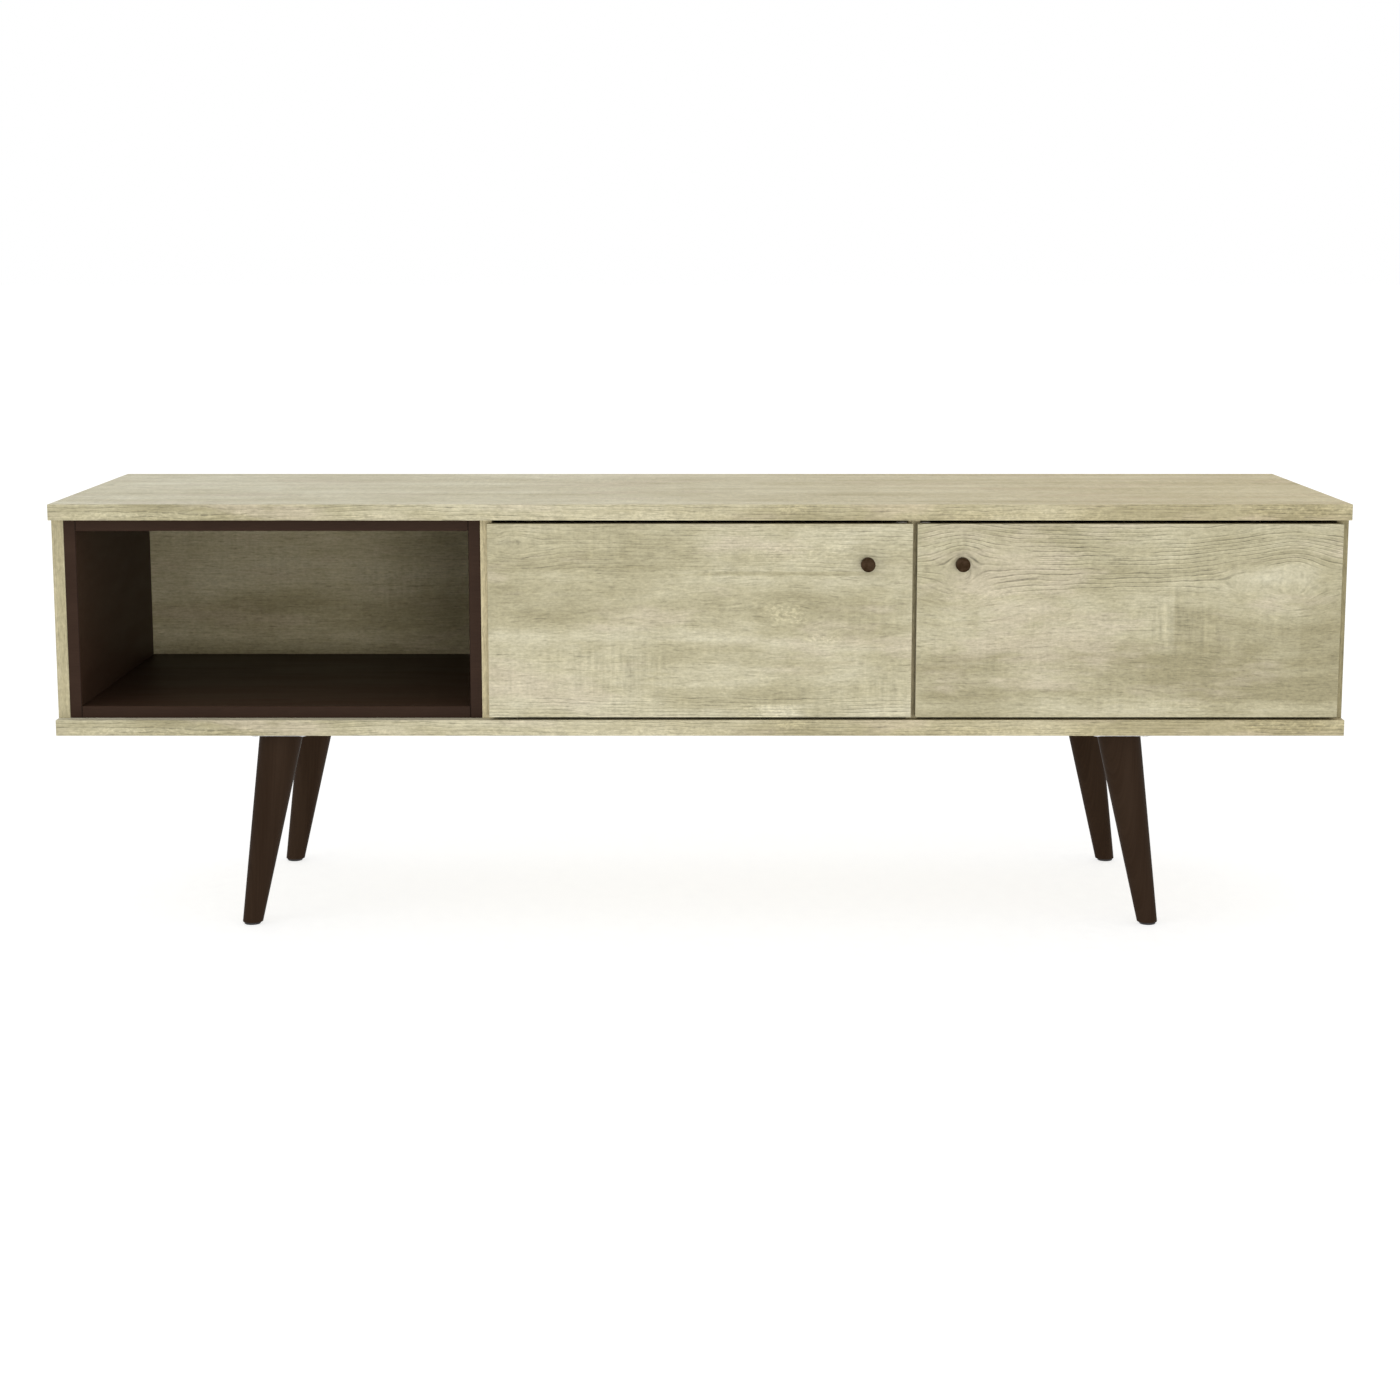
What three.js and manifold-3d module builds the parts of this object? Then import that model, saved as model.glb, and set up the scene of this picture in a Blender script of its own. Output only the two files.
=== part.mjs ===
// A low console cabinet for a television: two thick boards with a shallow carcass between them, an open bay
// lined in dark board on the left, two hinged doors on the right and four turned legs that lean outwards.
//
// Millimetres, +Z up. The front faces -Y and +X is to the right of someone facing it. The origin is on the
// floor, under the middle of the whole object, knobs included.

import * as THREE from 'three';
import { mergeVertices } from 'three/addons/utils/BufferGeometryUtils.js';
import Module from 'manifold-3d';

// ---------------------------------------------------------------------------------------- driving dimensions

const WIDTH = 1300;
const SLAB_DEPTH = 380;
const SLAB_THICKNESS = 16;
const BOARD = 12; // uprights, liner and doors
const BACK_THICKNESS = 3;
const BACK_INSET = 1; // back panel in from the slabs' rear edges
const BAY_HEIGHT = 202; // between the two slabs
const LEG_HEIGHT = 205; // floor to the underside of the lower slab
const KNOB_REACH = 14;
const CARCASS_SETBACK = 14; // front edges of the uprights behind the front of the slabs
const DIVIDER_CENTRE = 214.5; // three equal bays
const RUNNING_GAP = 0.3; // between two pieces that fit in each other
const BOLT_CLEARANCE = 0.5; // radial, round bolts and screws in their holes
const WOOD_SCREW_HOLE = 2; // radius, in the hinge cups and plates

const DOOR_WIDTH = 425;
const DOOR_HEIGHT = 195.5;
const DOOR_LIFT = 3; // gap under the doors
const DOOR_OVERLAY = 4; // how far a closed door laps over the upright that carries it

const LEG_TOP_DIAMETER = 44.5;
const LEG_FOOT_DIAMETER = 20.5;
const LEG_TOP_X = 428; // leg axis at the underside of the slab
const LEG_FOOT_X = 464; // leg axis at the floor
const LEG_SPACING_Y = 296; // front legs to rear legs
const LEG_PLATE = 60;
const LEG_PLATE_THICKNESS = 2.5;
const GLIDE_THICKNESS = 2.5;
const GLIDE_DIAMETER = 17;
const BOLT_DIAMETER = 8;
const BOLT_IN_LEG = 34;
const BOLT_ABOVE_PLATE = 8;

const KNOB_DIAMETER = 14.25;
const KNOB_FROM_EDGE = 45;
const KNOB_FROM_TOP = 40;
const KNOB_SCREW_DIAMETER = 4;
const KNOB_SCREW_HOLE = KNOB_SCREW_DIAMETER / 2 + BOLT_CLEARANCE; // radius

const HINGE_FROM_END = 45; // hinge centre to the door's top or bottom edge
const PIN_FROM_EDGE = 5.5; // pin axis to the door's hinge edge
const PIN_BEHIND_FACE = 5; // pin axis to the door's front face
const PIN_RADIUS = 1;
const PIN_LENGTH = 12;
const CUP_CENTRE = 10; // cup axis, measured from the pin along the door
const CUP_POCKET_RADIUS = 13;
const CUP_POCKET_FLOOR = -2.5; // measured from the pin, towards the back

const CATCH_TOP_GAP = 3; // catch to the underside of the top slab
const STRIKE_THICKNESS = 1.2;
const BUMPER_DIAMETER = 6;
const BUMPER_THICKNESS = 1.7;

// ------------------------------------------------------------------------------------------- derived positions

const FRONT = KNOB_REACH - (SLAB_DEPTH + KNOB_REACH) / 2; // front face of slabs and doors
const REAR = FRONT + SLAB_DEPTH;
const CARCASS_FRONT = FRONT + CARCASS_SETBACK;
const BACK_FACE = REAR - BACK_INSET;
const CARCASS_REAR = BACK_FACE - BACK_THICKNESS;
const DOOR_REAR = FRONT + BOARD;

const LOWER_SLAB = [LEG_HEIGHT, LEG_HEIGHT + SLAB_THICKNESS];
const BAY = [LOWER_SLAB[1], LOWER_SLAB[1] + BAY_HEIGHT];
const UPPER_SLAB = [BAY[1], BAY[1] + SLAB_THICKNESS];

const SIDE_INNER = WIDTH / 2 - BOARD;
const DIVIDER_INNER = DIVIDER_CENTRE - BOARD / 2;
const DIVIDER_OUTER = DIVIDER_CENTRE + BOARD / 2;

const DOOR_Z = [BAY[0] + DOOR_LIFT, BAY[0] + DOOR_LIFT + DOOR_HEIGHT];
const LEFT_DOOR_X = [-DIVIDER_INNER - DOOR_OVERLAY, -DIVIDER_INNER - DOOR_OVERLAY + DOOR_WIDTH];
const RIGHT_DOOR_X = [SIDE_INNER + DOOR_OVERLAY - DOOR_WIDTH, SIDE_INNER + DOOR_OVERLAY];

// The two doors mirror each other: inward is the X direction from the hinge edge to the knob edge.
const DOORS = {
  left: { hingeEdge: LEFT_DOOR_X[0], knobEdge: LEFT_DOOR_X[1], inward: 1, x: LEFT_DOOR_X },
  right: { hingeEdge: RIGHT_DOOR_X[1], knobEdge: RIGHT_DOOR_X[0], inward: -1, x: RIGHT_DOOR_X },
};
const HINGE_HEIGHTS = { upper: DOOR_Z[1] - HINGE_FROM_END, lower: DOOR_Z[0] + HINGE_FROM_END };
const KNOB_Z = DOOR_Z[1] - KNOB_FROM_TOP;

// -------------------------------------------------------------------------------------------------- materials

function finish(color, roughness, metalness = 0) {
  return new THREE.MeshStandardMaterial({ color, roughness, metalness });
}

const oakBoard = finish(0xc4bb9c, 0.6);
const hardboard = finish(0xb3a988, 0.7);
const darkBoard = finish(0x34281f, 0.5);
const darkWood = finish(0x36291f, 0.45);
const zincSteel = finish(0xb4b6b8, 0.35, 0.9);
const magnetSteel = finish(0x77787a, 0.4, 0.9);
const blackPlastic = finish(0x24211f, 0.55);
const whitePlastic = finish(0xdedbd2, 0.5);
const clearRubber = finish(0xcfcfc4, 0.3);

// -------------------------------------------------------------------------------------------- boolean helpers

const wasm = await Module();
wasm.setup();

function solid(geometry) {
  const bare = geometry.clone();
  bare.deleteAttribute('normal');
  bare.deleteAttribute('uv');
  const merged = mergeVertices(bare, 1e-4);
  return new wasm.Manifold(
    new wasm.Mesh({
      numProp: 3,
      vertProperties: new Float32Array(merged.attributes.position.array),
      triVerts: new Uint32Array(merged.index.array),
    }),
  );
}

function geometryOf(manifold) {
  const mesh = manifold.getMesh();
  const geometry = new THREE.BufferGeometry();
  geometry.setAttribute('position', new THREE.BufferAttribute(mesh.vertProperties, 3));
  geometry.setIndex(new THREE.BufferAttribute(mesh.triVerts, 1));
  geometry.computeVertexNormals();
  return geometry;
}

function cut(base, ...tools) {
  return geometryOf(tools.reduce((rest, tool) => rest.subtract(solid(tool)), solid(base)));
}

function join(...pieces) {
  return geometryOf(pieces.map(solid).reduce((whole, piece) => whole.add(piece)));
}

function common(first, second) {
  return geometryOf(solid(first).intersect(solid(second)));
}

// ---------------------------------------------------------------------------------------------- shape helpers

// A box between two limits on each axis.
function block([x0, x1], [y0, y1], [z0, z1]) {
  const box = new THREE.BoxGeometry(x1 - x0, y1 - y0, z1 - z0);
  return box.translate((x0 + x1) / 2, (y0 + y1) / 2, (z0 + z1) / 2);
}

// A rod along Z, centred on the origin.
function rodZ(radius, length, sides = 16) {
  return new THREE.CylinderGeometry(radius, radius, length, sides).rotateX(Math.PI / 2);
}

// A rod along Y between two limits.
function rodY(radius, [y0, y1], sides = 16) {
  return new THREE.CylinderGeometry(radius, radius, y1 - y0, sides).translate(0, (y0 + y1) / 2, 0);
}

// A rounded rectangle in the XY plane, centred on the origin.
function roundedRectangle(width, height, radius) {
  const x = width / 2 - radius;
  const y = height / 2 - radius;
  const shape = new THREE.Shape();
  shape.absarc(x, y, radius, 0, Math.PI / 2);
  shape.absarc(-x, y, radius, Math.PI / 2, Math.PI);
  shape.absarc(-x, -y, radius, Math.PI, Math.PI * 1.5);
  shape.absarc(x, -y, radius, Math.PI * 1.5, Math.PI * 2);
  return shape;
}

// A rounded plate facing Y: width along X, height along Z, from y0 to y1.
function plateY(width, height, radius, [y0, y1]) {
  const flat = new THREE.ExtrudeGeometry(roundedRectangle(width, height, radius), {
    depth: y1 - y0,
    bevelEnabled: false,
    curveSegments: 3,
  });
  return flat.rotateX(Math.PI / 2).translate(0, y1, 0);
}

const cabinet = new THREE.Group();

function add(name, geometry, material, position = [0, 0, 0], parent = cabinet) {
  const mesh = new THREE.Mesh(geometry, material);
  mesh.name = name;
  mesh.position.set(...position);
  parent.add(mesh);
  return mesh;
}

// A plain board, placed by its limits.
function board(name, material, [x0, x1], [y0, y1], [z0, z1]) {
  const geometry = new THREE.BoxGeometry(x1 - x0, y1 - y0, z1 - z0);
  return add(name, geometry, material, [(x0 + x1) / 2, (y0 + y1) / 2, (z0 + z1) / 2]);
}

// -------------------------------------------------------------------------------------- where the legs stand

const LEG_Y = { front: (FRONT + REAR - LEG_SPACING_Y) / 2, rear: (FRONT + REAR + LEG_SPACING_Y) / 2 };
const LEG_LEAN = Math.atan2(LEG_FOOT_X - LEG_TOP_X, LEG_HEIGHT);
const LEG_LENGTH = Math.hypot(LEG_FOOT_X - LEG_TOP_X, LEG_HEIGHT);

const LEG_PLACES = [];
for (const [side, sign] of [['left', -1], ['right', 1]]) {
  for (const end of ['front', 'rear']) {
    LEG_PLACES.push({ name: `${end}_${side}`, sign, y: LEG_Y[end] });
  }
}

// ------------------------------------------------------------------------------------------ slabs and carcass

const ALL_X = [-WIDTH / 2, WIDTH / 2];
const CARCASS_Y = [CARCASS_FRONT, CARCASS_REAR];
const BOLT_SOCKET_RADIUS = 7.5;
const BOLT_SOCKET_DEPTH = 12;

board('top_slab', oakBoard, ALL_X, [FRONT, REAR], UPPER_SLAB);

// The lower slab has a blind socket over each leg, for the end of its bolt.
const boltSockets = LEG_PLACES.map(({ sign, y }) =>
  rodZ(BOLT_SOCKET_RADIUS, 2 * BOLT_SOCKET_DEPTH, 20).translate(sign * LEG_TOP_X, y, LOWER_SLAB[0]),
);
add('bottom_slab', cut(block(ALL_X, [FRONT, REAR], LOWER_SLAB), ...boltSockets), oakBoard);

board('side_panel_left', oakBoard, [-WIDTH / 2, -SIDE_INNER], CARCASS_Y, BAY);
board('side_panel_right', oakBoard, [SIDE_INNER, WIDTH / 2], CARCASS_Y, BAY);
board('divider_left', oakBoard, [-DIVIDER_OUTER, -DIVIDER_INNER], CARCASS_Y, BAY);
board('divider_middle', oakBoard, [DIVIDER_INNER, DIVIDER_OUTER], CARCASS_Y, BAY);
board('back_panel', hardboard, ALL_X, [CARCASS_REAR, BACK_FACE], BAY);

// The open bay's dark liner: two uprights at full height, with the roof and the floor between them.
const LINER_X = [-SIDE_INNER + BOARD, -DIVIDER_OUTER - BOARD];
board('liner_left', darkBoard, [-SIDE_INNER, LINER_X[0]], CARCASS_Y, BAY);
board('liner_right', darkBoard, [LINER_X[1], -DIVIDER_OUTER], CARCASS_Y, BAY);
board('liner_top', darkBoard, LINER_X, CARCASS_Y, [BAY[1] - BOARD, BAY[1]]);
board('liner_bottom', darkBoard, LINER_X, CARCASS_Y, [BAY[0], BAY[0] + BOARD]);

// ------------------------------------------------------------------------------------------------------- legs

// In a leg's own frame its axis runs down -Z from the slab, and the lean is put on afterwards.
function leaning(geometry, sign) {
  return geometry.rotateY(-sign * LEG_LEAN);
}

// A horizontal box that is wider than a leg, between two heights measured from the slab's underside.
function levels(low, high) {
  return block([-150, 150], [-150, 150], [low, high]);
}

const LEG_SIDES = 48;
const LEG_SCREW_OFFSET = 24;
const LEG_SCREW_HOLE = 2.5; // radius
const OVERRUN = 20; // the turned cone runs past both of its level cuts

function legGeometry(sign) {
  const taper = (LEG_TOP_DIAMETER - LEG_FOOT_DIAMETER) / 2 / LEG_LENGTH;
  const coneLength = LEG_LENGTH + 2 * OVERRUN;
  const cone = new THREE.CylinderGeometry(
    LEG_TOP_DIAMETER / 2 + OVERRUN * taper,
    LEG_FOOT_DIAMETER / 2 - OVERRUN * taper,
    coneLength,
    LEG_SIDES,
  );
  cone.rotateX(Math.PI / 2).translate(0, 0, OVERRUN - coneLength / 2);
  const bore = rodZ(BOLT_DIAMETER / 2 + BOLT_CLEARANCE, 2 * (BOLT_IN_LEG + 3));
  const trimmed = common(leaning(cone, sign), levels(GLIDE_THICKNESS - LEG_HEIGHT, -LEG_PLATE_THICKNESS));
  return cut(trimmed, leaning(bore, sign));
}

function legPlateGeometry(sign) {
  const blank = new THREE.ExtrudeGeometry(roundedRectangle(LEG_PLATE, LEG_PLATE, 6), {
    depth: LEG_PLATE_THICKNESS,
    bevelEnabled: false,
    curveSegments: 3,
  });
  blank.translate(0, 0, -LEG_PLATE_THICKNESS);
  const boltHole = leaning(rodZ(BOLT_DIAMETER / 2 + BOLT_CLEARANCE, 20), sign);
  const screwHoles = [];
  for (const x of [-1, 1]) {
    for (const y of [-1, 1]) {
      screwHoles.push(rodZ(LEG_SCREW_HOLE, 10, 12).translate(x * LEG_SCREW_OFFSET, y * LEG_SCREW_OFFSET, 0));
    }
  }
  return cut(blank, boltHole, ...screwHoles);
}

// A short rod with a cone on its lower end, for the wood thread.
function legBoltGeometry(sign) {
  const radius = BOLT_DIAMETER / 2;
  const profile = [
    new THREE.Vector2(0, -BOLT_IN_LEG),
    new THREE.Vector2(radius * 0.5, -BOLT_IN_LEG),
    new THREE.Vector2(radius, -BOLT_IN_LEG + 5),
    new THREE.Vector2(radius, BOLT_ABOVE_PLATE),
    new THREE.Vector2(0, BOLT_ABOVE_PLATE),
  ];
  return leaning(new THREE.LatheGeometry(profile, 16).rotateX(Math.PI / 2), sign);
}

const GLIDE_EDGE = 0.6;
const glideProfile = [
  new THREE.Vector2(0, 0),
  new THREE.Vector2(GLIDE_DIAMETER / 2 - GLIDE_EDGE, 0),
  new THREE.Vector2(GLIDE_DIAMETER / 2, GLIDE_EDGE),
  new THREE.Vector2(GLIDE_DIAMETER / 2, GLIDE_THICKNESS),
  new THREE.Vector2(0, GLIDE_THICKNESS),
];

for (const { name, sign, y } of LEG_PLACES) {
  const top = [sign * LEG_TOP_X, y, LOWER_SLAB[0]];
  add(`leg_${name}`, legGeometry(sign), darkWood, top);
  add(`leg_plate_${name}`, legPlateGeometry(sign), zincSteel, top);
  add(`leg_bolt_${name}`, legBoltGeometry(sign), zincSteel, top);
  const glide = new THREE.LatheGeometry(glideProfile, 24).rotateX(Math.PI / 2);
  add(`foot_glide_${name}`, glide, blackPlastic, [sign * LEG_FOOT_X, y, 0]);
}

// ------------------------------------------------------------------------------------------------------ doors

// The X and Y of a door's pin, and the X of a point measured from that pin along the door.
const PIN_Y = FRONT + PIN_BEHIND_FACE;
const pinX = (door) => door.hingeEdge + door.inward * PIN_FROM_EDGE;

function doorGeometry(door) {
  const pockets = Object.values(HINGE_HEIGHTS).map((height) => {
    const limits = [PIN_Y + CUP_POCKET_FLOOR, DOOR_REAR + 1];
    return rodY(CUP_POCKET_RADIUS, limits, 32).translate(pinX(door) + door.inward * CUP_CENTRE, 0, height);
  });
  const knobX = door.knobEdge - door.inward * KNOB_FROM_EDGE;
  const screwHole = rodY(KNOB_SCREW_HOLE, [FRONT - 1, DOOR_REAR + 1]).translate(knobX, 0, KNOB_Z);
  return cut(block(door.x, [FRONT, DOOR_REAR], DOOR_Z), ...pockets, screwHole);
}

// ------------------------------------------------------------------------------------------------------ knobs

// A turned button: a straight side that swells a little, a rounded edge and a slightly domed face, with a
// blind bore from behind for its screw. Its own frame has the door's face at y = 0 and its own face at -Y.
const KNOB_BORE_DEPTH = 9.5;
const KNOB_EDGE = 1.75; // radius of the rounded edge
const KNOB_DOME = 0.75;
const KNOB_EDGE_STEPS = 4;

function knobGeometry() {
  const radius = KNOB_DIAMETER / 2;
  const profile = [new THREE.Vector2(0, 0), new THREE.Vector2(radius - 0.5, 0), new THREE.Vector2(radius, 3.5)];
  const corner = new THREE.Vector2(radius - KNOB_EDGE, KNOB_REACH - KNOB_DOME - KNOB_EDGE);
  for (let step = 0; step <= KNOB_EDGE_STEPS; step += 1) {
    const angle = (step / KNOB_EDGE_STEPS) * (Math.PI / 2);
    const x = corner.x + KNOB_EDGE * Math.cos(angle);
    const y = corner.y + KNOB_EDGE * Math.sin(angle);
    profile.push(new THREE.Vector2(x, y));
  }
  profile.push(new THREE.Vector2(radius * 0.4, KNOB_REACH - KNOB_DOME * 0.2));
  profile.push(new THREE.Vector2(0, KNOB_REACH));
  const button = new THREE.LatheGeometry(profile, 32).rotateX(Math.PI);
  return cut(button, rodY(KNOB_SCREW_HOLE, [-KNOB_BORE_DEPTH, 5]));
}

// A pan head on the back of the door, and a shank through it into the knob, 1 mm short of the bore's end.
const SCREW_HEAD = { radius: 4, side: 1.2, height: 2.2 };

function knobScrewGeometry() {
  const shank = KNOB_SCREW_DIAMETER / 2;
  const end = -(BOARD + KNOB_BORE_DEPTH - 1);
  const profile = [
    new THREE.Vector2(0, end),
    new THREE.Vector2(shank, end),
    new THREE.Vector2(shank, 0),
    new THREE.Vector2(SCREW_HEAD.radius, 0),
    new THREE.Vector2(SCREW_HEAD.radius, SCREW_HEAD.side),
    new THREE.Vector2(SCREW_HEAD.radius * 0.8, SCREW_HEAD.height * 0.9),
    new THREE.Vector2(0, SCREW_HEAD.height),
  ];
  return new THREE.LatheGeometry(profile, 16);
}

// ----------------------------------------------------------------------------------------------------- hinges

// Every hinge piece is drawn around the pin: +x runs along the closed door away from its hinge edge, +y runs
// back into the cabinet. The door's rear face is at y = REAR_FACE, and the upright that carries the hinge is
// at x = UPRIGHT_FACE.
const REAR_FACE = BOARD - PIN_BEHIND_FACE;
const UPRIGHT_FACE = DOOR_OVERLAY - PIN_FROM_EDGE;
const BORE_RADIUS = PIN_RADIUS + RUNNING_GAP;
const CUP_SLOT = 4; // half the width of the slot that the arm swings in
const CUP_FLANGE = { width: 17, height: 48, thickness: 1.2 };
const ARM_SHEET = 1.5;
const ARM_X = 10; // inner side of the arm's web
const ARM_HALF_WIDTH = 3.5; // inside the cup
const CHANNEL = { halfWidth: 7, side: 1.25, from: 18, to: 60, foot: 2.5 };
const RAIL = { halfWidth: 5.25, from: 21, to: 58 };
const CUP_SCREW_Z = 19;
const PLATE_SCREW_Z = 16;
const PLATE_WING = { from: 26, to: 50, halfHeight: 22, thickness: 1.5 };
const FIXING_SLOT = { from: 46, to: 52, halfHeight: 2.25 };

function hingeCupGeometry() {
  const drum = rodY(CUP_POCKET_RADIUS - RUNNING_GAP, [CUP_POCKET_FLOOR + RUNNING_GAP, REAR_FACE], 32);
  const flangeLimits = [REAR_FACE, REAR_FACE + CUP_FLANGE.thickness];
  const flange = plateY(CUP_FLANGE.width, CUP_FLANGE.height, 6, flangeLimits);
  const drumWithNeck = join(drum, rodY(7, [0, flangeLimits[1]]), flange).translate(CUP_CENTRE, 0, 0);
  const slot = block([-5, ARM_X + ARM_SHEET + 3], [-5, 10], [-CUP_SLOT, CUP_SLOT]);
  const screwHoles = [-1, 1].map((end) =>
    rodY(WOOD_SCREW_HOLE, [REAR_FACE - 1, REAR_FACE + 3], 12).translate(CUP_CENTRE, 0, end * CUP_SCREW_Z),
  );
  return cut(drumWithNeck, slot, rodZ(BORE_RADIUS, 30), ...screwHoles);
}

// The gooseneck: an eye round the pin, a run along the door inside the cup, a bend and a run to the back, where
// it widens into a channel that drops over the plate's rail.
function hingeArmGeometry() {
  const half = ARM_SHEET / 2;
  const bend = 2.5;
  const outer = ARM_X + ARM_SHEET;
  const outline = new THREE.Shape();
  outline.moveTo(0, half);
  outline.lineTo(0, -half);
  outline.lineTo(outer - bend, -half);
  outline.absarc(outer - bend, bend - half, bend, -Math.PI / 2, 0);
  outline.lineTo(outer, CHANNEL.from);
  outline.lineTo(ARM_X, CHANNEL.from);
  outline.lineTo(ARM_X, bend - half);
  outline.absarc(outer - bend, bend - half, bend - ARM_SHEET, 0, -Math.PI / 2, true);
  const settings = { depth: 2 * ARM_HALF_WIDTH, bevelEnabled: false, curveSegments: 5 };
  const neck = new THREE.ExtrudeGeometry(outline, settings).translate(0, 0, -ARM_HALF_WIDTH);
  const eye = rodZ(2.2, 2 * ARM_HALF_WIDTH, 20);
  const web = block([ARM_X, outer], [CHANNEL.from - 3, CHANNEL.to], [-CHANNEL.halfWidth, CHANNEL.halfWidth]);
  const innerZ = CHANNEL.halfWidth - CHANNEL.side;
  const sides = [-1, 1].map((end) => {
    const limits = end < 0 ? [-CHANNEL.halfWidth, -innerZ] : [innerZ, CHANNEL.halfWidth];
    return block([CHANNEL.foot, outer], [CHANNEL.from, CHANNEL.to], limits);
  });
  const slotHeights = [-FIXING_SLOT.halfHeight, FIXING_SLOT.halfHeight];
  const fixingSlot = block([ARM_X - 1, outer + 1], [FIXING_SLOT.from, FIXING_SLOT.to], slotHeights);
  return cut(join(neck, eye, web, ...sides), rodZ(BORE_RADIUS, 30), fixingSlot);
}

// A rail for the arm, standing on a base with two wings that are screwed to the upright.
function hingePlateGeometry() {
  const base = [UPRIGHT_FACE, UPRIGHT_FACE + PLATE_WING.thickness];
  const wings = block(base, [PLATE_WING.from, PLATE_WING.to], [-PLATE_WING.halfHeight, PLATE_WING.halfHeight]);
  const rail = block(
    [UPRIGHT_FACE, ARM_X - RUNNING_GAP],
    [RAIL.from, RAIL.to],
    [-RAIL.halfWidth, RAIL.halfWidth],
  );
  const wingMiddle = (PLATE_WING.from + PLATE_WING.to) / 2;
  const screwHoles = [-1, 1].map((end) =>
    rodZ(WOOD_SCREW_HOLE, 6, 12).rotateY(Math.PI / 2).translate(UPRIGHT_FACE, wingMiddle, end * PLATE_SCREW_Z),
  );
  return cut(join(wings, rail), ...screwHoles);
}

// ----------------------------------------------------------------------------- catches, strikes and bumpers

// Both catches sit on the middle divider, just under the top slab, and each door carries a steel strike that
// meets the magnet. All three are drawn with the divider's face at x = 0 and the bay on the -x side.
const CATCH = { width: 11, depth: 18, height: 24 };
const CATCH_FRONT = DOOR_REAR + STRIKE_THICKNESS + RUNNING_GAP;
const MAGNET = { width: 5, depth: 10, height: 16 };
const STRIKE = { width: 10, height: 20, screwHole: 1.75 };
const CATCH_Z = BAY[1] - CATCH_TOP_GAP - CATCH.height / 2;

function catchGeometry() {
  const housing = plateY(CATCH.width, CATCH.height, 2, [0.5, CATCH.depth]);
  const pocket = block(
    [-MAGNET.width / 2 - RUNNING_GAP, MAGNET.width / 2 + RUNNING_GAP],
    [-1, MAGNET.depth + RUNNING_GAP],
    [-MAGNET.height / 2 - RUNNING_GAP, MAGNET.height / 2 + RUNNING_GAP],
  );
  return cut(housing, pocket);
}

function strikeGeometry() {
  const plate = plateY(STRIKE.width, STRIKE.height, 2, [0, STRIKE_THICKNESS]);
  return cut(plate, rodY(STRIKE.screwHole, [-1, 3], 12));
}

function bumperGeometry() {
  const radius = BUMPER_DIAMETER / 2;
  const profile = [
    new THREE.Vector2(0, 0),
    new THREE.Vector2(radius, 0),
    new THREE.Vector2(radius, BUMPER_THICKNESS * 0.4),
    new THREE.Vector2(radius * 0.75, BUMPER_THICKNESS * 0.85),
    new THREE.Vector2(0, BUMPER_THICKNESS),
  ];
  return new THREE.LatheGeometry(profile, 16);
}

const BUMPER_HEIGHTS = { upper: KNOB_Z, lower: DOOR_Z[0] + 12 };

for (const [side, door] of Object.entries(DOORS)) {
  add(`door_${side}`, doorGeometry(door), oakBoard);

  const knobX = door.knobEdge - door.inward * KNOB_FROM_EDGE;
  add(`knob_${side}`, knobGeometry(), darkWood, [knobX, FRONT, KNOB_Z]);
  add(`knob_screw_${side}`, knobScrewGeometry(), zincSteel, [knobX, DOOR_REAR, KNOB_Z]);

  for (const [level, height] of Object.entries(HINGE_HEIGHTS)) {
    // Half a turn about Y puts the right door's hinges on the other side without mirroring them.
    const hinge = new THREE.Group();
    hinge.position.set(pinX(door), PIN_Y, height);
    hinge.rotation.y = door.inward > 0 ? 0 : Math.PI;
    cabinet.add(hinge);
    const place = `${side}_${level}`;
    add(`hinge_cup_${place}`, hingeCupGeometry(), zincSteel, [0, 0, 0], hinge);
    add(`hinge_pin_${place}`, rodZ(PIN_RADIUS, PIN_LENGTH, 12), zincSteel, [0, 0, 0], hinge);
    add(`hinge_arm_${place}`, hingeArmGeometry(), zincSteel, [0, 0, 0], hinge);
    add(`hinge_plate_${place}`, hingePlateGeometry(), zincSteel, [0, 0, 0], hinge);

    const bumperX = door.knobEdge - door.inward * (BUMPER_DIAMETER / 2 + 0.5);
    add(`door_bumper_${place}`, bumperGeometry(), clearRubber, [bumperX, DOOR_REAR, BUMPER_HEIGHTS[level]]);
  }

  const dividerFace = door.inward > 0 ? DIVIDER_INNER : DIVIDER_OUTER;
  const catchX = dividerFace - door.inward * (CATCH.width / 2);
  add(`catch_${side}`, catchGeometry(), whitePlastic, [catchX, CATCH_FRONT, CATCH_Z]);
  const magnet = block(
    [-MAGNET.width / 2, MAGNET.width / 2],
    [0, MAGNET.depth],
    [-MAGNET.height / 2, MAGNET.height / 2],
  );
  add(`catch_magnet_${side}`, magnet, magnetSteel, [catchX, CATCH_FRONT, CATCH_Z]);
  add(`strike_${side}`, strikeGeometry(), zincSteel, [catchX, DOOR_REAR, CATCH_Z]);
}

export default cabinet;
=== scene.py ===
"""The looks of a low television console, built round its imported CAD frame.

Metres, +Z up. The front faces -Y and the open bay is on the -X side.
"""

import math
from collections import namedtuple

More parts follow.
